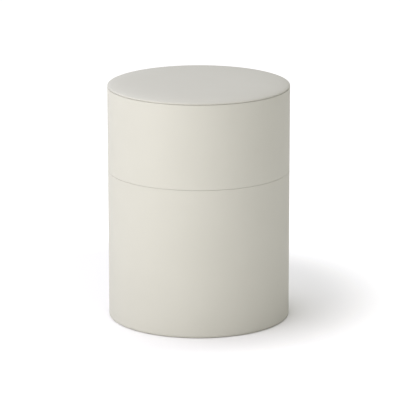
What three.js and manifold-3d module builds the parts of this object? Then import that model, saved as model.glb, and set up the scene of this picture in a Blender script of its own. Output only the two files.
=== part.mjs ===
// A round steel storage tin: a lined body, a flush lid that slides over the lining's neck, and a dished inner lid.
// Millimetres, +Z up. The origin is the centre of the foot, and the side seams face +Y, the back.
import * as THREE from 'three';
import { mergeVertices } from 'three/addons/utils/BufferGeometryUtils.js';
import Module from 'manifold-3d';

// Overall sizes
const OUTER_DIAMETER = 80; // body and lid share it
const BODY_HEIGHT = 66; // foot to the line where lid and body meet
const LID_WALL_HEIGHT = 37.25; // lid wall's lower edge to its upper edge
const LID_GAP = 0.08; // open line between lid and body

// Sheet metal
const WALL_SHEET = 0.4; // outer walls
const SLEEVE_SHEET = 0.4; // lining
const PLATE_SHEET = 0.4; // top and base plates
const DISH_SHEET = 0.35; // inner lid
const EDGE_ROUND = 0.08; // broken edge of each outer wall
const SIDE_SEAM_WIDTH = 0.3; // fine line down the back of each rolled wall
const SIDE_SEAM_DEPTH = 0.15;

// Fits
const SLIDE_CLEARANCE = 0.1; // wall to lining, on the radius, in the body and under the lid
const PLUG_CLEARANCE = 0.1; // plate flange to the wall around it, on the radius
const DISH_CLEARANCE = 0.2; // inner lid's skirt to the neck, on the radius
const SEAT_GAP = 0.1; // inner lid's rim to the neck under it
const RIVET_CLEARANCE = 0.1; // rivet to the holes that it passes through, on the radius

// Top and base plates: a folded hem sits on the wall's edge, and a flange plugs inside the wall
const HEM_ROUND = 0.25; // lower corner of the hem, beside the wall
const FLANGE_DEPTH = 4;
const PLATE_LINE = 0.2; // open line between the top plate's hem and the lid wall's edge
const LID_FOLD_DEPTH = 5; // lid wall's upper edge, folded in to carry the top plate
const CROWN_HEIGHT = 2; // lid top, from its rim to its middle
const CROWN_POWER = 4; // how flat the crown stays before it rolls over to the rim
const BASE_SHOULDER_RUN = 0.9; // rounding of the foot, on the radius
const FOOT_RING_WIDTH = 4.5; // flat ring that the tin stands on
const BASE_RECESS = 0.8; // how far the base's middle is raised off the floor
const BASE_STEP_RUN = 1.6; // slope from foot ring to recess

// Neck of the lining
const NECK_HEM_DEPTH = 3.5; // edge folded back inside

// Inner lid
const HEADROOM = 10; // knob to the lid's underside
const DISH_DEPTH = 7; // rim to floor
const DISH_CORNER = 1.5; // skirt to floor, inside
const RIM_SETBACK = 0.2; // rim's edge inside the neck's outer face
const BEAD_INSET = 10; // stiffening ring pressed into the floor, from the rounded corner to the ring
const BEAD_WIDTH = 4;
const BEAD_HEIGHT = 0.9;

// Knob, rivet and washer
const KNOB_HEIGHT = 11;
const KNOB_HEAD_DEPTH = 4.2;
const KNOB_HEAD_OVERHANG = 3; // head past the stem, on the radius
const KNOB_HEAD_EDGE = 1.6; // rounding under the head's rim
const KNOB_STEM_WALL = 1.9; // metal around the bore at the waist
const KNOB_FOOT_FLARE = 1.5; // foot past the stem, on the radius
const KNOB_FOOT_DEPTH = 1.2;
const KNOB_CAP = 4.9; // metal left above the bore
const RIVET_DIAMETER = 3;
const RIVET_HEAD_DIAMETER = 6.5;
const RIVET_HEAD_HEIGHT = 1.3;
const WASHER_DIAMETER = 10;
const WASHER_THICKNESS = 0.6;

// Facets
const WALL_SIDES = 64;
const KNOB_SIDES = 36;
const RIVET_SIDES = 20;
const ARC_STEPS = 3;
const BEAD_STEPS = 6;
const CROWN_STEPS = 8;

// Radii that one piece takes from the next
const wallOuter = OUTER_DIAMETER / 2;
const wallInner = wallOuter - WALL_SHEET;
const lidFoldInner = wallInner - WALL_SHEET;
const sleeveOuter = wallInner - SLIDE_CLEARANCE;
const sleeveInner = sleeveOuter - SLEEVE_SHEET;
const neckInner = sleeveInner - SLEEVE_SHEET;
const skirtOuter = neckInner - DISH_CLEARANCE;
const skirtInner = skirtOuter - DISH_SHEET;
const rivetRadius = RIVET_DIAMETER / 2;
const rivetHole = rivetRadius + RIVET_CLEARANCE;

// Heights that one piece takes from the next
const hemHeight = 2 * PLATE_SHEET;
const lidBottom = BODY_HEIGHT + LID_GAP;
const lidLedge = lidBottom + LID_WALL_HEIGHT;
const lidRim = lidLedge + PLATE_LINE + HEM_ROUND;
const lidUnderside = lidRim + CROWN_HEIGHT - PLATE_SHEET;
const dishFloor = lidUnderside - HEADROOM - KNOB_HEIGHT;
const neckTop = dishFloor + DISH_DEPTH - DISH_SHEET - SEAT_GAP;
const boreTop = dishFloor + KNOB_HEIGHT - KNOB_CAP;

// Finishes
const satinCoat = () => new THREE.MeshStandardMaterial({ color: 0xd8d5cb, roughness: 0.55, metalness: 0 });
const tinplate = () => new THREE.MeshStandardMaterial({ color: 0xc9c8c4, roughness: 0.35, metalness: 1 });
const turnedSteel = () => new THREE.MeshStandardMaterial({ color: 0xb9b8b5, roughness: 0.25, metalness: 1 });

const wasm = await Module();
wasm.setup();

// Points of an elliptical arc in a section, from one angle to another in degrees: 0 is outwards and 90 is up.
function arc(radius, height, run, rise, from, to, steps = ARC_STEPS) {
  return Array.from({ length: steps + 1 }, (_, i) => {
    const angle = THREE.MathUtils.degToRad(from + ((to - from) * i) / steps);
    return [radius + run * Math.cos(angle), height + rise * Math.sin(angle)];
  });
}

// A crowned disc's section from its middle to its rim: flat inside, then rolling over to the rim's level.
function crown(rim, height, level) {
  return Array.from({ length: CROWN_STEPS + 1 }, (_, i) => {
    const angle = (Math.PI / 2) * (i / CROWN_STEPS);
    return [rim * Math.sin(angle) ** (2 / CROWN_POWER), level + height * Math.cos(angle)];
  });
}

// Turns a section of [radius, height] points about +Z. It starts and ends on the axis, or closes on itself.
function revolve(section, sides) {
  const onAxis = section[0][0] === 0;
  const path = onAxis ? section : [...section, section[0]];
  const points = path.map(([radius, height]) => new THREE.Vector2(radius, height));
  return new THREE.LatheGeometry(points, sides).rotateX(Math.PI / 2);
}

// A geometry as a solid for cutting, with its shared corners merged.
function solid(geometry) {
  const bare = geometry.clone().deleteAttribute('normal').deleteAttribute('uv');
  const merged = mergeVertices(bare);
  return new wasm.Manifold(
    new wasm.Mesh({
      numProp: 3,
      vertProperties: merged.attributes.position.array,
      triVerts: new Uint32Array(merged.index.array),
    }),
  );
}

function cut(geometry, tool) {
  const mesh = solid(geometry).subtract(solid(tool)).getMesh();
  const result = new THREE.BufferGeometry();
  result.setAttribute('position', new THREE.BufferAttribute(mesh.vertProperties, 3));
  result.setIndex(new THREE.BufferAttribute(mesh.triVerts, 1));
  result.computeVertexNormals();
  return result;
}

function piece(name, geometry, material) {
  const mesh = new THREE.Mesh(geometry, material);
  mesh.name = name;
  return mesh;
}

// A rolled sheet: a tube with the fine line of its side seam down the back.
function rolledWall(section, outer, bottom, top) {
  const seam = new THREE.BoxGeometry(SIDE_SEAM_WIDTH, 2 * SIDE_SEAM_DEPTH, 2 * (top - bottom));
  const facetMiddle = outer * Math.cos(Math.PI / WALL_SIDES);
  const turn = Math.PI / WALL_SIDES;
  seam.translate(0, facetMiddle, (bottom + top) / 2).rotateZ(turn);
  return cut(revolve(section, WALL_SIDES), seam);
}

// The outside of a wall's section, with both edges broken.
function wallFace(bottom, top) {
  const edge = wallOuter - EDGE_ROUND;
  return [
    ...arc(edge, bottom + EDGE_ROUND, EDGE_ROUND, EDGE_ROUND, -90, 0, 2),
    ...arc(edge, top - EDGE_ROUND, EDGE_ROUND, EDGE_ROUND, 0, 90, 2),
  ];
}

function bodyWall() {
  const section = [[wallInner, hemHeight], ...wallFace(hemHeight, BODY_HEIGHT), [wallInner, BODY_HEIGHT]];
  return rolledWall(section, wallOuter, hemHeight, BODY_HEIGHT);
}

// The lid's wall is doubled at the top, where its edge is folded in to carry the top plate.
function lidWall() {
  const foldEnd = lidLedge - LID_FOLD_DEPTH;
  const section = [
    [wallInner, lidBottom],
    ...wallFace(lidBottom, lidLedge),
    [lidFoldInner, lidLedge],
    [lidFoldInner, foldEnd],
    [wallInner, foldEnd],
  ];
  return rolledWall(section, wallOuter, lidBottom, lidLedge);
}

// The lining stands on the base plate's hem, and its upper edge is folded back inside.
function innerSleeve() {
  const fold = SLEEVE_SHEET;
  const section = [
    [sleeveInner, hemHeight],
    [sleeveOuter, hemHeight],
    ...arc(sleeveOuter - fold, neckTop - fold, fold, fold, 0, 180, 2 * ARC_STEPS),
    [neckInner, neckTop - NECK_HEM_DEPTH],
    [sleeveInner, neckTop - NECK_HEM_DEPTH],
  ];
  return rolledWall(section, sleeveOuter, hemHeight, neckTop);
}

// The base: a recessed middle, a flat foot ring, a rounded hem under wall and lining, and a flange inside them.
function basePlate() {
  const footOuter = wallOuter - BASE_SHOULDER_RUN;
  const footInner = footOuter - FOOT_RING_WIDTH;
  const flangeOuter = sleeveInner - PLUG_CLEARANCE;
  const flangeInner = flangeOuter - PLATE_SHEET;
  const recessEdge = footInner - BASE_STEP_RUN;
  const shoulderRise = hemHeight - HEM_ROUND;
  const section = [
    [0, BASE_RECESS],
    [recessEdge, BASE_RECESS],
    [footInner, 0],
    ...arc(footOuter, shoulderRise, BASE_SHOULDER_RUN, shoulderRise, -90, 0),
    ...arc(wallOuter - HEM_ROUND, shoulderRise, HEM_ROUND, HEM_ROUND, 0, 90),
    [flangeOuter, hemHeight],
    [flangeOuter, hemHeight + FLANGE_DEPTH],
    [flangeInner, hemHeight + FLANGE_DEPTH],
    [flangeInner, PLATE_SHEET],
    [footInner, PLATE_SHEET],
    [recessEdge, BASE_RECESS + PLATE_SHEET],
    [0, BASE_RECESS + PLATE_SHEET],
  ];
  return revolve(section, WALL_SIDES);
}

// The lid's top: a crown that rolls over to a rounded hem, a seat that rests on the wall's fold and leaves a fine
// open line under the hem, and a flange that plugs inside the fold.
function lidTop() {
  const flangeOuter = lidFoldInner - PLUG_CLEARANCE;
  const flangeInner = flangeOuter - PLATE_SHEET;
  const hemInner = wallOuter - HEM_ROUND;
  const section = [
    [0, lidUnderside],
    ...crown(flangeInner, CROWN_HEIGHT, lidRim - PLATE_SHEET).slice(1),
    [flangeInner, lidLedge - FLANGE_DEPTH],
    [flangeOuter, lidLedge - FLANGE_DEPTH],
    [flangeOuter, lidLedge],
    [wallInner, lidLedge],
    [wallInner, lidLedge + PLATE_LINE],
    ...arc(hemInner, lidRim, HEM_ROUND, HEM_ROUND, -90, 0).slice(0, -1),
    ...crown(wallOuter, CROWN_HEIGHT, lidRim).reverse().slice(0, -1),
    [0, lidRim + CROWN_HEIGHT],
  ];
  return revolve(section, WALL_SIDES);
}

// The inner lid: a rim over the neck, a skirt inside it, and a floor with a stiffening ring and the rivet's hole.
function innerLid() {
  const rimOuter = sleeveOuter - RIM_SETBACK;
  const rimTop = dishFloor + DISH_DEPTH;
  const underside = dishFloor - DISH_SHEET;
  const outerCorner = DISH_CORNER + DISH_SHEET;
  const beadRadius = skirtInner - DISH_CORNER - BEAD_INSET - BEAD_WIDTH / 2;
  const bead = (level) => arc(beadRadius, level, BEAD_WIDTH / 2, BEAD_HEIGHT, 0, 180, BEAD_STEPS);
  const section = [
    [rivetHole, underside],
    ...bead(underside).reverse(),
    ...arc(skirtOuter - outerCorner, underside + outerCorner, outerCorner, outerCorner, -90, 0),
    [skirtOuter, rimTop - DISH_SHEET],
    [rimOuter, rimTop - DISH_SHEET],
    [rimOuter, rimTop],
    [skirtInner, rimTop],
    ...arc(skirtInner - DISH_CORNER, dishFloor + DISH_CORNER, DISH_CORNER, DISH_CORNER, 0, -90),
    ...bead(dishFloor),
    [rivetHole, dishFloor],
  ];
  return revolve(section, WALL_SIDES);
}

// The knob: a foot on the dish's floor, a waisted stem and a domed head, bored from below for the rivet.
function innerLidKnob() {
  const stem = rivetHole + KNOB_STEM_WALL;
  const foot = stem + KNOB_FOOT_FLARE;
  const top = dishFloor + KNOB_HEIGHT;
  const head = stem + KNOB_HEAD_OVERHANG;
  const headBottom = top - KNOB_HEAD_DEPTH;
  const headRim = headBottom + KNOB_HEAD_EDGE;
  const headFlat = head - KNOB_HEAD_EDGE;
  const footTop = dishFloor + KNOB_FOOT_DEPTH;
  const waistRise = (headBottom - footTop) / 2;
  const waist = footTop + waistRise;
  const section = [
    [0, boreTop],
    [rivetHole, boreTop],
    [rivetHole, dishFloor],
    [foot, dishFloor],
    ...arc(foot, waist, KNOB_FOOT_FLARE, waistRise, -90, -180),
    ...arc(headFlat, waist, headFlat - stem, waistRise, -180, -270).slice(1, -1),
    ...arc(headFlat, headRim, KNOB_HEAD_EDGE, KNOB_HEAD_EDGE, -90, 0),
    ...arc(0, headRim, head, top - headRim, 0, 90, 2 * ARC_STEPS).slice(1, -1),
    [0, top],
  ];
  return revolve(section, KNOB_SIDES);
}

// The rivet: a domed head under the washer, and a shank up into the knob.
function knobRivet() {
  const seat = dishFloor - DISH_SHEET - WASHER_THICKNESS;
  const shankTop = boreTop - RIVET_CLEARANCE;
  const section = [
    [0, seat - RIVET_HEAD_HEIGHT],
    ...arc(0, seat, RIVET_HEAD_DIAMETER / 2, RIVET_HEAD_HEIGHT, -90, 0).slice(1),
    [rivetRadius, seat],
    [rivetRadius, shankTop],
    [0, shankTop],
  ];
  return revolve(section, RIVET_SIDES);
}

function knobWasher() {
  const top = dishFloor - DISH_SHEET;
  const section = [
    [rivetHole, top - WASHER_THICKNESS],
    [WASHER_DIAMETER / 2, top - WASHER_THICKNESS],
    [WASHER_DIAMETER / 2, top],
    [rivetHole, top],
  ];
  return revolve(section, KNOB_SIDES);
}

const body = new THREE.Group();
body.add(
  piece('body_wall', bodyWall(), satinCoat()),
  piece('base_plate', basePlate(), satinCoat()),
  piece('inner_sleeve', innerSleeve(), tinplate()),
);

const innerLidGroup = new THREE.Group();
innerLidGroup.add(
  piece('inner_lid', innerLid(), tinplate()),
  piece('inner_lid_knob', innerLidKnob(), turnedSteel()),
  piece('knob_rivet', knobRivet(), turnedSteel()),
  piece('knob_washer', knobWasher(), turnedSteel()),
);

const lid = new THREE.Group();
lid.add(
  piece('lid_wall', lidWall(), satinCoat()),
  piece('lid_top', lidTop(), satinCoat()),
);

const tin = new THREE.Group();
tin.add(body, innerLidGroup, lid);

export default tin;
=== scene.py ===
# %% [markdown]
# # A round storage tin
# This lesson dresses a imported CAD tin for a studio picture. The CAD holds the sizes, the fits and the
# joints. Blender gives every sheet its rounded edges and every surface its finish. Each piece is turned
# about one axis, as the real ones are rolled, pressed and spun, so one small lathe function makes them
# all.

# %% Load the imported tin
import math

import bmesh
import bpy
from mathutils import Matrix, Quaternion, Vector


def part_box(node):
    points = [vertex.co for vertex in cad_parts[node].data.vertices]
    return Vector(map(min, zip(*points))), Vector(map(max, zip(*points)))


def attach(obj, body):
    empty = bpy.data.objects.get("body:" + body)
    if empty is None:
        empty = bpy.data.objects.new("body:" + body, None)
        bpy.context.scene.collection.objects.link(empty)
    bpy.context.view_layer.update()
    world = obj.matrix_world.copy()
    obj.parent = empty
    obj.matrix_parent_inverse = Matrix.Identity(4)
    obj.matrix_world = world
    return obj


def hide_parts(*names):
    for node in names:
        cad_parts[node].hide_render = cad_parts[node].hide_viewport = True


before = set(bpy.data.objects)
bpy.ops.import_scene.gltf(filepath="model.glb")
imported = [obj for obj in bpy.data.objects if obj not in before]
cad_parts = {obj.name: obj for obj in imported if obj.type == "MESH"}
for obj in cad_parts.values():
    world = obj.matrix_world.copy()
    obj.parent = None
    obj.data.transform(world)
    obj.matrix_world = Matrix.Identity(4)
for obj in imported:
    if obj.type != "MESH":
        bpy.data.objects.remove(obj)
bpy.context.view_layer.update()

# %% [markdown]
# ## Sizes
# Heights and radii come from the CAD nodes' own boxes, so a repacked tin of another size still fits its
# skin. Only what a box can't show, such as the thickness of a sheet, is written here, in millimetres.

# %% Read the tin's sizes
MM = 0.001


def span(node):
    """Lowest and highest corner of a CAD node, in millimetres."""
    low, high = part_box(node)
    return low / MM, high / MM


body_low, body_high = span("body_wall")
lid_low, lid_high = span("lid_wall")
OUTER = body_high.x  # radius of body and lid
HEM_TOP = body_low.z  # the base plate's hem, under the body wall
BODY_TOP = body_high.z
LID_BOTTOM = lid_low.z
LEDGE = lid_high.z  # the lid wall's upper edge, under the top plate
LID_TOP = span("lid_top")[1].z

WALL_SHEET = 0.4
PLATE_SHEET = 0.4
SLEEVE_SHEET = 0.4
DISH_SHEET = 0.35
WALL_INNER = OUTER - WALL_SHEET
print(f"radius {OUTER:.2f}, split at {BODY_TOP:.2f}, ledge at {LEDGE:.2f}, top at {LID_TOP:.2f} mm")

# %% [markdown]
# ## Camera
# The photograph was taken with a long lens from a little above. These values were matched to the tin's
# outline: the aim is a point near the axis at half height, so the picture needs no lens shift.

# %% Place the camera
SENSOR_MM = 36.0
LENS_MM = 259.6
CAMERA_DISTANCE = 1275.2
CAMERA_ELEVATION = 14.4
CAMERA_ROLL = -0.07
CAMERA_AIM = Vector((0.53, 0.0, 51.71))
CLIP_NEAR = 0.05  # metres
CLIP_FAR = 200.0

tilt = math.radians(CAMERA_ELEVATION)
to_tin = Vector((0.0, math.cos(tilt), -math.sin(tilt)))
camera_data = bpy.data.cameras.new("product_camera")
camera_data.sensor_width = SENSOR_MM
camera_data.lens = LENS_MM
camera_data.clip_start = CLIP_NEAR
camera_data.clip_end = CLIP_FAR
camera = bpy.data.objects.new("product_camera", camera_data)
camera.location = (CAMERA_AIM - to_tin * CAMERA_DISTANCE) * MM
camera.rotation_mode = "QUATERNION"
roll = Quaternion((0, 0, 1), math.radians(CAMERA_ROLL))
camera.rotation_quaternion = to_tin.to_track_quat("-Z", "Y") @ roll
bpy.context.scene.collection.objects.link(camera)
bpy.context.scene.camera = camera
print("camera at", [round(x, 3) for x in camera.location])

# %% [markdown]
# ## Shader helpers
# A hex colour is what a picture editor shows, and shaders work in linear light, so one function converts
# it. A second one adds a node, sets its properties, and fills or links its inputs. A noise texture seldom
# leaves the middle of its range, so that middle is what gets spread over a finish's roughness.


# %% Colour and node helpers
def linear(hex_colour):
    """An sRGB hex value as linear red, green, blue and alpha."""
    channels = [int(hex_colour[i : i + 2], 16) / 255 for i in (1, 3, 5)]
    return [c / 12.92 if c <= 0.04045 else ((c + 0.055) / 1.055) ** 2.4 for c in channels] + [1.0]


def add(tree, kind, inputs=None, **settings):
    """Adds one node. An input that is given a socket is linked, and any other value is set."""
    made = tree.nodes.new(kind)
    for name, value in settings.items():
        setattr(made, name, value)
    for key, value in (inputs or {}).items():
        if isinstance(value, bpy.types.NodeSocket):
            tree.links.new(value, made.inputs[key])
        else:
            made.inputs[key].default_value = value
    return made


def new_finish(name):
    """An empty material and its node tree."""
    material = bpy.data.materials.new(name)
    material.use_nodes = True
    material.node_tree.nodes.clear()
    return material, material.node_tree


def per_mm(size):
    """Texture scale, per metre, of a pattern whose features are this many millimetres."""
    return 1 / (size * MM)


NOISE_MIDDLE = {"From Min": 0.3, "From Max": 0.7}
print("mid grey in linear light:", round(linear("#808080")[0], 3))

# %% [markdown]
# ## Satin enamel
# The outside is tinplate with a baked satin enamel in a warm off-white. Spraying leaves a slight orange
# peel, a soft unevenness about a millimetre and a half across, and the matting agent leaves a fine tooth.
# Both are shallow, so they only soften the reflections. The tone drifts by a percent or so over a few
# centimetres.

# %% Satin enamel
ENAMEL = "#c3c1b5"
ENAMEL_SHADE = "#bfbdb1"
ENAMEL_ROUGHNESS = (0.62, 0.7)
ENAMEL_IOR = 1.5
DRIFT_SIZE = 24.0
PEEL_SIZE = 1.5
PEEL_HEIGHT = 0.012
PEEL_STRENGTH = 0.35
TOOTH_SIZE = 0.3
TOOTH_HEIGHT = 0.004
TOOTH_STRENGTH = 0.3


def satin_enamel():
    material, tree = new_finish("satin_enamel")
    place = add(tree, "ShaderNodeTexCoord").outputs["Object"]
    drift = add(tree, "ShaderNodeTexNoise", {"Vector": place, "Scale": per_mm(DRIFT_SIZE), "Detail": 3.0})
    peel = add(tree, "ShaderNodeTexNoise", {"Vector": place, "Scale": per_mm(PEEL_SIZE), "Detail": 1.0})
    tooth = add(tree, "ShaderNodeTexNoise", {"Vector": place, "Scale": per_mm(TOOTH_SIZE), "Detail": 2.0})
    tone = add(
        tree,
        "ShaderNodeMix",
        {"Factor": drift.outputs["Fac"], "A": linear(ENAMEL), "B": linear(ENAMEL_SHADE)},
        data_type="RGBA",
    )
    smoothest, roughest = ENAMEL_ROUGHNESS
    gloss = add(
        tree,
        "ShaderNodeMapRange",
        {"Value": drift.outputs["Fac"], **NOISE_MIDDLE, "To Min": smoothest, "To Max": roughest},
    )
    soft = add(
        tree,
        "ShaderNodeBump",
        {"Height": peel.outputs["Fac"], "Strength": PEEL_STRENGTH, "Distance": PEEL_HEIGHT * MM},
    )
    fine = add(
        tree,
        "ShaderNodeBump",
        {
            "Height": tooth.outputs["Fac"],
            "Strength": TOOTH_STRENGTH,
            "Distance": TOOTH_HEIGHT * MM,
            "Normal": soft.outputs["Normal"],
        },
    )
    shader = add(
        tree,
        "ShaderNodeBsdfPrincipled",
        {
            "Base Color": tone.outputs["Result"],
            "Roughness": gloss.outputs["Result"],
            "IOR": ENAMEL_IOR,
            "Normal": fine.outputs["Normal"],
        },
    )
    add(tree, "ShaderNodeOutputMaterial", {"Surface": shader.outputs["BSDF"]})
    return material


enamel = satin_enamel()
print("made", enamel.name)

# %% [markdown]
# ## Bare tinplate
# The inside is the plain sheet: steel with a bright coat of tin. Rolling leaves a fine grain along the
# sheet. On a rolled wall the sheet's length goes round the tin, and on a pressed disc it stays straight.
# The real grain is about a twentieth of a millimetre wide, which no picture of the whole tin shows, so it
# is drawn coarser here. A renderer follows only a few mirror bounces, so the deep inside of a pure metal
# comes out almost black. A quarter of the finish is diffuse, which stands in for the bounces that are
# left out.

# %% Bare tinplate
TINPLATE = "#c9c7c2"
TINPLATE_SHADE = "#b9b7b2"
TINPLATE_METAL = 0.75
TINPLATE_ROUGHNESS = (0.24, 0.36)
GRAIN_WIDTH = 0.35
GRAIN_LENGTH = 30.0
GRAIN_HEIGHT = 0.01
GRAIN_STRENGTH = 0.25
BLOOM_SIZE = 9.0


def bare_tinplate(name, rolled):
    material, tree = new_finish(name)
    place = add(tree, "ShaderNodeTexCoord").outputs["Object"]
    if rolled:
        parts = add(tree, "ShaderNodeSeparateXYZ", {"Vector": place})
        sides = {0: parts.outputs["Y"], 1: parts.outputs["X"]}
        turn = add(tree, "ShaderNodeMath", sides, operation="ARCTAN2")
        along = add(tree, "ShaderNodeMath", {0: turn.outputs[0], 1: OUTER * MM}, operation="MULTIPLY")
        sheet = add(tree, "ShaderNodeCombineXYZ", {"X": along.outputs[0], "Y": parts.outputs["Z"]})
        unrolled = sheet.outputs["Vector"]
    else:
        unrolled = place
    stretch = (per_mm(GRAIN_LENGTH), per_mm(GRAIN_WIDTH), per_mm(GRAIN_WIDTH))
    rolling = add(tree, "ShaderNodeMapping", {"Vector": unrolled, "Scale": stretch})
    stretched = rolling.outputs["Vector"]
    grain = add(tree, "ShaderNodeTexNoise", {"Vector": stretched, "Scale": 1.0, "Detail": 3.0})
    bloom = add(tree, "ShaderNodeTexNoise", {"Vector": place, "Scale": per_mm(BLOOM_SIZE), "Detail": 2.0})
    tone = add(
        tree,
        "ShaderNodeMix",
        {"Factor": bloom.outputs["Fac"], "A": linear(TINPLATE), "B": linear(TINPLATE_SHADE)},
        data_type="RGBA",
    )
    smoothest, roughest = TINPLATE_ROUGHNESS
    gloss = add(
        tree,
        "ShaderNodeMapRange",
        {"Value": grain.outputs["Fac"], **NOISE_MIDDLE, "To Min": smoothest, "To Max": roughest},
    )
    lines = add(
        tree,
        "ShaderNodeBump",
        {"Height": grain.outputs["Fac"], "Strength": GRAIN_STRENGTH, "Distance": GRAIN_HEIGHT * MM},
    )
    shader = add(
        tree,
        "ShaderNodeBsdfPrincipled",
        {
            "Base Color": tone.outputs["Result"],
            "Metallic": TINPLATE_METAL,
            "Roughness": gloss.outputs["Result"],
            "Normal": lines.outputs["Normal"],
        },
    )
    add(tree, "ShaderNodeOutputMaterial", {"Surface": shader.outputs["BSDF"]})
    return material


rolled_tinplate = bare_tinplate("bare_tinplate_rolled", rolled=True)
pressed_tinplate = bare_tinplate("bare_tinplate_pressed", rolled=False)
print("made", rolled_tinplate.name, pressed_tinplate.name)

# %% [markdown]
# ## Turned steel
# The knob is turned from bar, so the tool leaves fine rings about a tenth of a millimetre apart. They are
# drawn at four times that, so that a few show. The highlight spreads across the rings, which the shader's
# anisotropy gives.

# %% Turned steel
STEEL = "#b4b3b0"
STEEL_ROUGHNESS = (0.2, 0.3)
STEEL_ANISOTROPY = 0.5
TURNING_PITCH = 0.4
TURNING_HEIGHT = 0.006
TURNING_STRENGTH = 0.2
WIPE_SIZE = 3.0


def turned_steel():
    material, tree = new_finish("turned_steel")
    place = add(tree, "ShaderNodeTexCoord").outputs["Object"]
    parts = add(tree, "ShaderNodeSeparateXYZ", {"Vector": place})
    across = add(tree, "ShaderNodeCombineXYZ", {"X": parts.outputs["X"], "Y": parts.outputs["Y"]})
    reach = add(tree, "ShaderNodeVectorMath", {0: across.outputs["Vector"]}, operation="LENGTH")
    feed = add(tree, "ShaderNodeMath", {0: reach.outputs["Value"], 1: parts.outputs["Z"]}, operation="ADD")
    turns = 2 * math.pi * per_mm(TURNING_PITCH)
    phase = add(tree, "ShaderNodeMath", {0: feed.outputs[0], 1: turns}, operation="MULTIPLY")
    rings = add(tree, "ShaderNodeMath", {0: phase.outputs[0]}, operation="SINE")
    lines = add(
        tree,
        "ShaderNodeBump",
        {"Height": rings.outputs[0], "Strength": TURNING_STRENGTH, "Distance": TURNING_HEIGHT * MM},
    )
    around = add(tree, "ShaderNodeTangent", direction_type="RADIAL", axis="Z")
    wipe = add(tree, "ShaderNodeTexNoise", {"Vector": place, "Scale": per_mm(WIPE_SIZE), "Detail": 2.0})
    smoothest, roughest = STEEL_ROUGHNESS
    gloss = add(
        tree,
        "ShaderNodeMapRange",
        {"Value": wipe.outputs["Fac"], **NOISE_MIDDLE, "To Min": smoothest, "To Max": roughest},
    )
    shader = add(
        tree,
        "ShaderNodeBsdfPrincipled",
        {
            "Base Color": linear(STEEL),
            "Metallic": 1.0,
            "Roughness": gloss.outputs["Result"],
            "Anisotropic": STEEL_ANISOTROPY,
            "Tangent": around.outputs["Tangent"],
            "Normal": lines.outputs["Normal"],
        },
    )
    add(tree, "ShaderNodeOutputMaterial", {"Surface": shader.outputs["BSDF"]})
    return material


steel = turned_steel()
print("made", steel.name)

# %% [markdown]
# ## The lathe
# A section is drawn as runs of points, and each run has one finish, so one sheet can be enamelled outside
# and bare inside. A flat stretch gets two tight rows of faces beside each end. They keep the smooth
# shading of the flat from bending into the small round next to it, which a bevel would do too, but only
# after the sheet was already thick.

# %% Section helpers
ROW_HEIGHT = 4.0
HOLDING_ROWS = (0.12, 0.5)
BURR_STEPS = 3
SMALL_STEPS = 4
ROUND_STEPS = 6
BEND_STEPS = 10


def arc(radius, height, run, rise, start, end, steps=ROUND_STEPS):
    """Points of an elliptical arc in a section: 0 degrees is outwards and 90 is up."""
    angles = [math.radians(start + (end - start) * i / steps) for i in range(steps + 1)]
    return [(radius + run * math.cos(a), height + rise * math.sin(a)) for a in angles]


def flat(a, b, row=ROW_HEIGHT):
    """Points along a straight stretch, with tight rows beside both ends."""
    length = math.dist(a, b)
    rows = max(1, math.ceil(length / row))
    places = {i / rows for i in range(rows + 1)}
    for hold in HOLDING_ROWS:
        if hold < length / 4:
            places |= {hold / length, 1 - hold / length}
    return [(a[0] + (b[0] - a[0]) * t, a[1] + (b[1] - a[1]) * t) for t in sorted(places)]


print("rows up a stretch of 20 mm:", [round(height, 2) for _, height in flat((0, 0), (0, 20))])

# %% [markdown]
# ## The side seam
# Each rolled sheet is joined down the back. The lathe gets a few extra meridians there, and the middle
# ones are pressed in by a fraction of the sheet, so the seam is real geometry and not only a line in a
# material.

# %% Meridians and seam
WALL_SIDES = 192
KNOB_SIDES = 96
SEAM_WIDTH = 0.3
SEAM_DEPTH = 0.15
SEAM_STEPS = (-0.8, -0.5, -0.25, 0.0, 0.25, 0.5, 0.8)


def turn_angles(sides, seam_radius):
    """Angles of the lathe's meridians, with extra ones where a seam goes down the back."""
    angles = [2 * math.pi * (k + 0.5) / sides for k in range(sides)]
    if seam_radius:
        angles += [math.pi / 2 + step * SEAM_WIDTH / seam_radius for step in SEAM_STEPS]
    return sorted(angles)


def seam_press(angle, radius):
    """How far the side seam presses the sheet in at an angle."""
    off = abs(angle - math.pi / 2) * radius
    return SEAM_DEPTH * max(0.0, 1 - off / (SEAM_WIDTH / 2))


print("meridians of a seamed wall:", len(turn_angles(WALL_SIDES, OUTER)))

# %% [markdown]
# ## Turning a piece
# One function turns a section into a mesh. A face takes the material of its run. Edges that bend more
# than the small rounds do are marked sharp, so that smooth shading stops at the real corners.

# %% The lathe
SAME_POINT = 1e-6
SHARP_ANGLE = math.radians(38)


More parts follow.
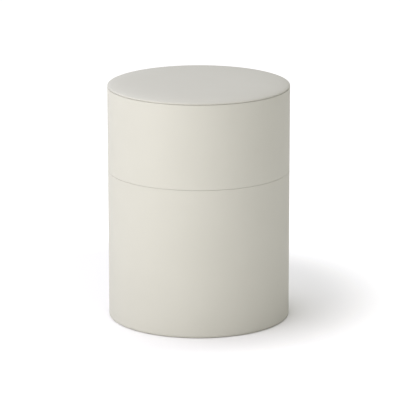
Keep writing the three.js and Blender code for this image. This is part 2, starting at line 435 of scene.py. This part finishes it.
def lathe(name, runs, sides=WALL_SIDES, seam_radius=None):
    """Turns a section about Z. A run is a material and points, and starts where the last one ended."""
    materials = list(dict.fromkeys(material for material, _ in runs))
    section, finishes = [runs[0][1][0]], []
    for material, points in runs:
        for point in points:
            if math.dist(point, section[-1]) > SAME_POINT:
                section.append(point)
                finishes.append(materials.index(material))
    if math.dist(section[0], section[-1]) < SAME_POINT:
        section.pop()
    angles = turn_angles(sides, seam_radius)
    shape = bmesh.new()
    rings = []
    for radius, height in section:
        if radius < SAME_POINT:
            rings.append([shape.verts.new((0, 0, height * MM))] * len(angles))
            continue
        ring = []
        for angle in angles:
            limit = seam_radius - seam_press(angle, seam_radius) if seam_radius else radius
            reach = min(radius, limit) * MM
            ring.append(shape.verts.new((reach * math.cos(angle), reach * math.sin(angle), height * MM)))
        rings.append(ring)
    for i, finish in enumerate(finishes):
        low, high = rings[i], rings[(i + 1) % len(rings)]
        for k in range(len(angles)):
            n = (k + 1) % len(angles)
            corners = list(dict.fromkeys((low[k], low[n], high[n], high[k])))
            shape.faces.new(corners).material_index = finish
    bmesh.ops.recalc_face_normals(shape, faces=shape.faces)
    mesh = bpy.data.meshes.new(name)
    shape.to_mesh(mesh)
    shape.free()
    mesh.shade_smooth()
    mesh.set_sharp_from_angle(angle=SHARP_ANGLE)
    for material in materials:
        mesh.materials.append(material)
    piece = bpy.data.objects.new(name, mesh)
    bpy.context.scene.collection.objects.link(piece)
    print(f"turned {name}: {len(mesh.polygons)} faces")
    return piece


def dress(piece, node, body):
    """The piece stands for a CAD node, whose own mesh is hidden, and moves with its body."""
    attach(piece, body)
    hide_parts(node)


# %% [markdown]
# ## Outer walls
# Body and lid are the same sheet, rolled to one diameter and joined down the back. Their cut edges are
# broken to a small round, and that round is what makes the line between lid and body show as a fine
# shadow with a soft rim. The lid's upper edge is folded in, and the doubled sheet carries the top plate.

# %% Outer walls
EDGE_ROUND = 0.08
BURR_ROUND = 0.05
LID_FOLD_DEPTH = 5.0
LID_FOLD_INNER = WALL_INNER - WALL_SHEET


def outer_wall(name, bottom, top, folded=False):
    edge = OUTER - EDGE_ROUND
    burr = WALL_INNER + BURR_ROUND
    low_round = arc(edge, bottom + EDGE_ROUND, EDGE_ROUND, EDGE_ROUND, -90, 0)
    high_round = arc(edge, top - EDGE_ROUND, EDGE_ROUND, EDGE_ROUND, 0, 90)
    low_burr = arc(burr, bottom + BURR_ROUND, BURR_ROUND, BURR_ROUND, 180, 270, BURR_STEPS)
    if folded:
        leaf = LID_FOLD_INNER + EDGE_ROUND
        leaf_burr = LID_FOLD_INNER + BURR_ROUND
        leaf_end = top - LID_FOLD_DEPTH
        leaf_top = arc(leaf, top - EDGE_ROUND, EDGE_ROUND, EDGE_ROUND, 90, 180, SMALL_STEPS)
        leaf_low = arc(leaf_burr, leaf_end + BURR_ROUND, BURR_ROUND, BURR_ROUND, 180, 270, BURR_STEPS)
        high_inside = [*leaf_top, *flat(leaf_top[-1], leaf_low[0]), *leaf_low, (WALL_INNER, leaf_end)]
    else:
        high_inside = arc(burr, top - BURR_ROUND, BURR_ROUND, BURR_ROUND, 90, 180, BURR_STEPS)
    face = flat(low_round[-1], high_round[0])
    outside = [(burr, bottom), *low_round, *face, *high_round, high_inside[0]]
    inside = [*high_inside, *flat(high_inside[-1], low_burr[0]), *low_burr]
    return lathe(name, [(enamel, outside), (rolled_tinplate, inside)], seam_radius=OUTER)


dress(outer_wall("body_wall_sheet", HEM_TOP, BODY_TOP), "body_wall", "body")
dress(outer_wall("lid_wall_sheet", LID_BOTTOM, LEDGE, folded=True), "lid_wall", "lid")

# %% [markdown]
# ## Top plate
# The top is one pressed disc. It is nearly flat in the middle, falls away more and more, and rolls over
# to a rounded hem. A seat behind the hem rests on the wall's fold, which leaves a fine open line outside,
# as deep as the sheet is thick, so that it shows dark. A superellipse gives the crown from two numbers,
# where a chain of arcs needs fairing.

# %% Top plate
HEM_ROUND = 0.25
PLATE_LINE = 0.2
CROWN_POWER = 4
FLANGE_DEPTH = 4.0
PLUG_CLEARANCE = 0.1
CROWN_FLAT = 28.0
CROWN_FLAT_STEPS = 7
CROWN_STEPS = 20


def crown(rim, level, top):
    """A crowned disc's section from its middle to its rim."""
    height = top - level
    power = CROWN_POWER
    radii = [CROWN_FLAT * i / CROWN_FLAT_STEPS for i in range(CROWN_FLAT_STEPS + 1)]
    inner = [(r, level + height * math.sqrt(1 - (r / rim) ** power)) for r in radii]
    start = math.asin((CROWN_FLAT / rim) ** (power / 2))
    angles = [start + (math.pi / 2 - start) * (i / CROWN_STEPS) for i in range(1, CROWN_STEPS + 1)]
    return inner + [(rim * math.sin(a) ** (2 / power), level + height * math.cos(a)) for a in angles]


def top_plate():
    rim = LEDGE + PLATE_LINE + HEM_ROUND
    hem_inner = OUTER - HEM_ROUND
    flange_outer = LID_FOLD_INNER - PLUG_CLEARANCE
    flange_inner = flange_outer - PLATE_SHEET
    flange_middle = (flange_outer + flange_inner) / 2
    lip = LEDGE - FLANGE_DEPTH
    under = crown(flange_inner, rim - PLATE_SHEET, LID_TOP - PLATE_SHEET)
    half = PLATE_SHEET / 2
    lip_round = arc(flange_middle, lip + half, half, half, -180, 0)
    flange = flat(lip_round[-1], (flange_outer, LEDGE))
    inside = [*under, *flat(under[-1], lip_round[0]), *lip_round, *flange]
    hem = arc(hem_inner, rim, HEM_ROUND, HEM_ROUND, -90, 0)
    seat = [(flange_outer, LEDGE), (WALL_INNER, LEDGE), (WALL_INNER, LEDGE + PLATE_LINE)]
    outside = [*seat, *hem, *reversed(crown(OUTER, rim, LID_TOP))]
    return lathe("lid_crown_plate", [(pressed_tinplate, inside), (enamel, outside)])


dress(top_plate(), "lid_top", "lid")

# %% [markdown]
# ## Base plate
# The base is pressed like the top, but its middle is raised so that the tin stands on a flat ring and
# doesn't rock. Its edge turns up in a broad round under the wall, which is the dark line at the tin's
# foot. The step between ring and middle is half a wave, as sheet metal bends, instead of the CAD's
# straight slope.

# %% Base plate
SHOULDER_RUN = 1.5
FOOT_RING = 3.9
RECESS = 0.8
STEP_RUN = 1.6
STEP_POINTS = 8
SLIDE_CLEARANCE = 0.1


def half_wave(start, end, steps):
    """A smooth step in a section, level at both ends."""
    run, rise = end[0] - start[0], end[1] - start[1]
    places = [i / steps for i in range(steps + 1)]
    return [(start[0] + run * t, start[1] + rise * (1 - math.cos(math.pi * t)) / 2) for t in places]


def base_plate():
    foot_outer = OUTER - SHOULDER_RUN
    foot_inner = foot_outer - FOOT_RING
    recess_edge = foot_inner - STEP_RUN
    shoulder = HEM_TOP - HEM_ROUND
    flange_outer = WALL_INNER - SLIDE_CLEARANCE - SLEEVE_SHEET - PLUG_CLEARANCE
    flange_inner = flange_outer - PLATE_SHEET
    lip = HEM_TOP + FLANGE_DEPTH
    corner = PLATE_SHEET
    under = [
        *flat((0, RECESS), (recess_edge, RECESS)),
        *half_wave((recess_edge, RECESS), (foot_inner, 0), STEP_POINTS),
        *flat((foot_inner, 0), (foot_outer, 0)),
        *arc(foot_outer, shoulder, SHOULDER_RUN, shoulder, -90, 0, BEND_STEPS),
        *arc(OUTER - HEM_ROUND, shoulder, HEM_ROUND, HEM_ROUND, 0, 90),
        (flange_outer, HEM_TOP),
    ]
    half = PLATE_SHEET / 2
    lip_round = arc(flange_inner + half, lip - half, half, half, 0, 180)
    floor_corner = arc(flange_inner - corner, PLATE_SHEET + corner, corner, corner, 0, -90)
    inside = [
        *flat((flange_outer, HEM_TOP), lip_round[0]),
        *lip_round,
        *flat(lip_round[-1], floor_corner[0]),
        *floor_corner,
        *flat(floor_corner[-1], (foot_inner, PLATE_SHEET)),
        *half_wave((foot_inner, PLATE_SHEET), (recess_edge, RECESS + PLATE_SHEET), STEP_POINTS),
        *flat((recess_edge, RECESS + PLATE_SHEET), (0, RECESS + PLATE_SHEET)),
    ]
    return lathe("base_pan", [(enamel, under), (pressed_tinplate, inside)])


dress(base_plate(), "base_plate", "body")

# %% [markdown]
# ## Lining
# The body is lined with a second rolled sheet of bare tinplate. It stands above the split as the neck
# that the lid slides over, and its upper edge is folded back inside, so that no cut edge meets a hand.

# %% Lining
NECK_FOLD = 3.5

neck_high = span("inner_sleeve")[1]
SLEEVE_OUTER = neck_high.x
SLEEVE_INNER = SLEEVE_OUTER - SLEEVE_SHEET
NECK_INNER = SLEEVE_INNER - SLEEVE_SHEET
NECK_TOP = neck_high.z


def lining():
    fold = arc(SLEEVE_INNER, NECK_TOP - SLEEVE_SHEET, SLEEVE_SHEET, SLEEVE_SHEET, 0, 180, BEND_STEPS)
    leaf_end = NECK_TOP - NECK_FOLD
    half = SLEEVE_SHEET / 2
    leaf_round = arc(NECK_INNER + half, leaf_end + half, half, half, 180, 270, SMALL_STEPS)
    section = [
        *flat((SLEEVE_INNER, HEM_TOP), (SLEEVE_OUTER, HEM_TOP)),
        *flat((SLEEVE_OUTER, HEM_TOP), fold[0]),
        *fold,
        *flat(fold[-1], leaf_round[0]),
        *leaf_round,
        (SLEEVE_INNER, leaf_end),
        *flat((SLEEVE_INNER, leaf_end), (SLEEVE_INNER, HEM_TOP)),
    ]
    return lathe("tinplate_lining", [(rolled_tinplate, section)], seam_radius=SLEEVE_OUTER)


dress(lining(), "inner_sleeve", "body")

# %% [markdown]
# ## Inner lid
# Under the lid a pressed dish closes the neck. Its rim rests on the fold, its skirt fits inside, and a
# shallow ring is pressed into the floor to stiffen it. Every bend in sheet has two radii, one sheet
# apart.

# %% Inner lid
DISH_CORNER = 1.5
RIM_BEND = 0.15
BEAD_INSET = 10.0
BEAD_WIDTH = 4.0
BEAD_HEIGHT = 0.9
BEAD_STEPS = 16
SKIRT_CLEARANCE = 0.2
RIVET_HOLE = 1.6

dish_low, dish_high = span("inner_lid")
DISH_FLOOR = dish_low.z + DISH_SHEET
RIM_TOP = dish_high.z
RIM_OUTER = dish_high.x
SKIRT_OUTER = NECK_INNER - SKIRT_CLEARANCE
SKIRT_INNER = SKIRT_OUTER - DISH_SHEET


def dish_face(level, skirt, corner, rim_level, bend):
    """One face of the dish, from the hole in its floor, over the ring and up the skirt to the rim."""
    ring_outer = SKIRT_INNER - DISH_CORNER - BEAD_INSET
    ring_inner = ring_outer - BEAD_WIDTH
    places = [i / BEAD_STEPS for i in range(BEAD_STEPS + 1)]
    ring = [(ring_inner + BEAD_WIDTH * t, level + BEAD_HEIGHT * math.sin(math.pi * t) ** 2) for t in places]
    foot = arc(skirt - corner, level + corner, corner, corner, -90, 0)
    shoulder = arc(skirt + bend, rim_level - bend, bend, bend, 180, 90)
    return [
        *flat((RIVET_HOLE, level), ring[0]),
        *ring,
        *flat(ring[-1], foot[0]),
        *foot,
        *flat(foot[-1], shoulder[0]),
        *shoulder,
    ]


def inner_lid():
    outer_corner = DISH_CORNER + DISH_SHEET
    rim_half = DISH_SHEET / 2
    underside, rim_bottom = DISH_FLOOR - DISH_SHEET, RIM_TOP - DISH_SHEET
    below = dish_face(underside, SKIRT_OUTER, outer_corner, rim_bottom, RIM_BEND)
    above = dish_face(DISH_FLOOR, SKIRT_INNER, DISH_CORNER, RIM_TOP, RIM_BEND + DISH_SHEET)
    rim_round = arc(RIM_OUTER - rim_half, RIM_TOP - rim_half, rim_half, rim_half, -90, 90)
    section = [*below, *rim_round, *reversed(above), below[0]]
    return lathe("inner_lid_dish", [(pressed_tinplate, section)])


dress(inner_lid(), "inner_lid", "inner_lid")

# %% [markdown]
# ## Knob, rivet and washer
# The knob is a small turned mushroom, bored from below. A rivet with a domed head goes up through a
# washer and the dish into the bore. Only the knob shows when the lid is off, but the underside is seen
# when the inner lid lifts.

# %% Knob
KNOB_FOOT_DEPTH = 1.2
KNOB_FOOT_FLARE = 1.5
KNOB_STEM_WALL = 1.9
KNOB_HEAD_DEPTH = 4.2
KNOB_HEAD_EDGE = 1.6
KNOB_CAP = 4.9
KNOB_EDGE_STEPS = 12
KNOB_DOME_STEPS = 20

knob_high = span("inner_lid_knob")[1]
KNOB_TOP = knob_high.z
KNOB_HEAD = knob_high.x
BORE_TOP = KNOB_TOP - KNOB_CAP


def knob():
    stem = RIVET_HOLE + KNOB_STEM_WALL
    foot = stem + KNOB_FOOT_FLARE
    foot_top = DISH_FLOOR + KNOB_FOOT_DEPTH
    head_bottom = KNOB_TOP - KNOB_HEAD_DEPTH
    head_rim = head_bottom + KNOB_HEAD_EDGE
    head_flat = KNOB_HEAD - KNOB_HEAD_EDGE
    waist_rise = (head_bottom - foot_top) / 2
    waist = foot_top + waist_rise
    burr = foot - BURR_ROUND
    foot_edge = arc(burr, DISH_FLOOR + BURR_ROUND, BURR_ROUND, BURR_ROUND, -90, 0, BURR_STEPS)
    section = [
        *flat((0, BORE_TOP), (RIVET_HOLE, BORE_TOP)),
        *flat((RIVET_HOLE, BORE_TOP), (RIVET_HOLE, DISH_FLOOR)),
        (RIVET_HOLE, DISH_FLOOR),
        *foot_edge,
        *flat(foot_edge[-1], (foot, foot_top)),
        *arc(foot, waist, KNOB_FOOT_FLARE, waist_rise, -90, -180, BEND_STEPS),
        *arc(head_flat, waist, head_flat - stem, waist_rise, -180, -270, BEND_STEPS),
        *arc(head_flat, head_rim, KNOB_HEAD_EDGE, KNOB_HEAD_EDGE, -90, 0, KNOB_EDGE_STEPS),
        *arc(0, head_rim, KNOB_HEAD, KNOB_TOP - head_rim, 0, 90, KNOB_DOME_STEPS)[:-1],
        (0, KNOB_TOP),
    ]
    return lathe("turned_knob", [(steel, section)], sides=KNOB_SIDES)


dress(knob(), "inner_lid_knob", "inner_lid")

# %% Rivet and washer
WASHER_EDGE = 0.12
RIVET_RADIUS = 1.5
RIVET_DOME_STEPS = 14

rivet_low, rivet_high = span("knob_rivet")
washer_low, washer_high = span("knob_washer")


def rivet():
    seat = washer_low.z
    head = rivet_high.x
    section = [
        (0, rivet_low.z),
        *arc(0, seat, head, seat - rivet_low.z, -90, 0, RIVET_DOME_STEPS)[1:],
        (RIVET_RADIUS, seat),
        *flat((RIVET_RADIUS, seat), (RIVET_RADIUS, rivet_high.z)),
        (0, rivet_high.z),
    ]
    return lathe("domed_rivet", [(steel, section)], sides=KNOB_SIDES)


def washer():
    edge = WASHER_EDGE
    rim = washer_high.x - edge
    section = [
        (RIVET_HOLE, washer_low.z),
        *arc(rim, washer_low.z + edge, edge, edge, -90, 0, SMALL_STEPS),
        *arc(rim, washer_high.z - edge, edge, edge, 0, 90, SMALL_STEPS),
        (RIVET_HOLE, washer_high.z),
        (RIVET_HOLE, washer_low.z),
    ]
    return lathe("rivet_washer", [(steel, section)], sides=KNOB_SIDES)


dress(rivet(), "knob_rivet", "inner_lid")
dress(washer(), "knob_washer", "inner_lid")

# %% [markdown]
# ## Studio
# The picture is a plain product shot on white. The paper around the tin glows by itself: a painted glow,
# not lamps, that makes it white. The painted glow leaves out a dim patch under the tin, its middle a little
# behind and to the left, and that is where the soft shadow stays. A photographer would set this up with
# many lamps. Here the painted glow is nothing on the patch and full beyond it, which takes a place and two
# distances.

# %% Floor
FLOOR_SIZE = 60.0  # metres
FLOOR_CELLS = 8
FLOOR_WHITE = "#f3f2ef"
PAPER_GRAIN = 1.0
PAPER_ROUGHNESS = (0.85, 0.95)
# Painted glow: the paper emits this much light though it is no lamp, and none on the patch around the tin.
PAINTED_PAPER_GLOW = 0.255
GLOW_PATCH_MIDDLE = Vector((-22.0, 26.0, 0.0))
GLOW_PATCH_NEAR = 75.0
GLOW_PATCH_FAR = 120.0


def white_floor():
    material, tree = new_finish("white_studio_floor")
    place = add(tree, "ShaderNodeTexCoord").outputs["Object"]
    grain = add(tree, "ShaderNodeTexNoise", {"Vector": place, "Scale": per_mm(PAPER_GRAIN), "Detail": 2.0})
    smoothest, roughest = PAPER_ROUGHNESS
    matt = add(
        tree,
        "ShaderNodeMapRange",
        {"Value": grain.outputs["Fac"], **NOISE_MIDDLE, "To Min": smoothest, "To Max": roughest},
    )
    reach = add(tree, "ShaderNodeVectorMath", {0: place, 1: GLOW_PATCH_MIDDLE * MM}, operation="DISTANCE")
    # The painted glow: none nearer the patch's middle than the near distance, full beyond the far one.
    painted_glow = add(
        tree,
        "ShaderNodeMapRange",
        {
            "Value": reach.outputs["Value"],
            "From Min": GLOW_PATCH_NEAR * MM,
            "From Max": GLOW_PATCH_FAR * MM,
            "To Min": 0.0,
            "To Max": PAINTED_PAPER_GLOW,
        },
        interpolation_type="SMOOTHSTEP",
    )
    shader = add(
        tree,
        "ShaderNodeBsdfPrincipled",
        {
            "Base Color": linear(FLOOR_WHITE),
            "Roughness": matt.outputs["Result"],
            "Specular IOR Level": 0.0,
            "Emission Color": (1, 1, 1, 1),
            "Emission Strength": painted_glow.outputs["Result"],
        },
    )
    add(tree, "ShaderNodeOutputMaterial", {"Surface": shader.outputs["BSDF"]})
    shape = bmesh.new()
    bmesh.ops.create_grid(shape, x_segments=FLOOR_CELLS, y_segments=FLOOR_CELLS, size=FLOOR_SIZE / 2)
    mesh = bpy.data.meshes.new("studio_floor")
    shape.to_mesh(mesh)
    shape.free()
    mesh.materials.append(material)
    floor = bpy.data.objects.new("studio_floor", mesh)
    bpy.context.scene.collection.objects.link(floor)
    return floor


white_floor()
print(f"floor {FLOOR_SIZE} m wide, with a dim patch {2 * GLOW_PATCH_NEAR} mm wide around the tin")

# %% [markdown]
# ## Room
# A white room lights the tin from all sides, a little cool from the left, as from a window, and warmer
# from above. Its light has no edges, so it is a smooth function of direction instead of many lamps. The
# camera itself sees plain white, as the photograph's backdrop is.

# %% Room
WINDOW_SIDE = 0.56
WINDOW_COLOUR = (0.91, 0.92, 1.15, 1.0)
CEILING = 0.92
CEILING_COLOUR = (1.02, 1.02, 0.96, 1.0)


def studio_room():
    """A room that grows lighter to the left and upwards, and that the camera sees as plain white."""
    world = bpy.data.worlds.new("studio_room")
    world.use_nodes = True
    tree = world.node_tree
    tree.nodes.clear()
    direction = add(tree, "ShaderNodeTexCoord").outputs["Generated"]
    way = add(tree, "ShaderNodeSeparateXYZ", {"Vector": direction})
    left = add(
        tree,
        "ShaderNodeMapRange",
        {"Value": way.outputs["X"], "From Min": -1.0, "To Min": WINDOW_SIDE, "To Max": 0.0},
    )
    above = add(tree, "ShaderNodeMapRange", {"Value": way.outputs["Z"], "To Min": 0.0, "To Max": CEILING})
    daylight = {"Color": WINDOW_COLOUR, "Strength": left.outputs["Result"]}
    window = add(tree, "ShaderNodeBackground", daylight)
    glow = {"Color": CEILING_COLOUR, "Strength": above.outputs["Result"]}
    ceiling = add(tree, "ShaderNodeBackground", glow)
    room = add(tree, "ShaderNodeAddShader", {0: window.outputs[0], 1: ceiling.outputs[0]})
    backdrop = add(tree, "ShaderNodeBackground", {"Color": (1, 1, 1, 1), "Strength": 1.0})
    seen = add(tree, "ShaderNodeLightPath").outputs["Is Camera Ray"]
    shown = add(tree, "ShaderNodeMixShader", {0: seen, 1: room.outputs[0], 2: backdrop.outputs[0]})
    add(tree, "ShaderNodeOutputWorld", {"Surface": shown.outputs[0]})
    return world


bpy.context.scene.world = studio_room()
print(f"room: {WINDOW_SIDE} from the left, {CEILING} from above")

# %% [markdown]
# ## Softboxes
# Three small softboxes stand close to the tin, and so its walls darken towards the foot. Two are at the
# front left, a warm one low down and a cool one above it, and the third is behind the left. One function
# aims them all.

# %% Lights
LIGHT_AIM = Vector((0.0, 0.0, 0.05))
BOX_DISTANCE = 0.36
BOX_WIDTH = 0.35
BOX_HEIGHT = 0.3


def softbox(name, azimuth, elevation, power, colour):
    """A rectangular soft light, aimed at the tin. Azimuth 0 is the camera's side and 90 is the left."""
    turn, lift = math.radians(azimuth), math.radians(elevation)
    away = Vector((-math.sin(turn) * math.cos(lift), -math.cos(turn) * math.cos(lift), math.sin(lift)))
    data = bpy.data.lights.new(name, "AREA")
    data.shape = "RECTANGLE"
    data.size = BOX_WIDTH
    data.size_y = BOX_HEIGHT
    data.energy = power
    data.color = colour
    light = bpy.data.objects.new(name, data)
    light.visible_camera = False
    light.location = LIGHT_AIM + away * BOX_DISTANCE
    light.rotation_mode = "QUATERNION"
    light.rotation_quaternion = away.to_track_quat("Z", "Y")
    bpy.context.scene.collection.objects.link(light)
    print(f"{name}: {power} W at {azimuth} degrees")
    return light


softbox("key_softbox", azimuth=40, elevation=15, power=0.34, colour=(1.07, 1.06, 0.85))
softbox("upper_softbox", azimuth=40, elevation=38, power=0.27, colour=(0.9, 0.85, 1.21))
softbox("back_softbox", azimuth=130, elevation=38, power=0.24, colour=(0.92, 0.96, 1.1))

# %% [markdown]
# ## Finish
# The plain view transform keeps whites white. The tin's skin has to stay inside the CAD model's box.

# %% Set the view transform
scene = bpy.context.scene
scene.view_settings.view_transform = "Standard"
scene.view_settings.look = "None"
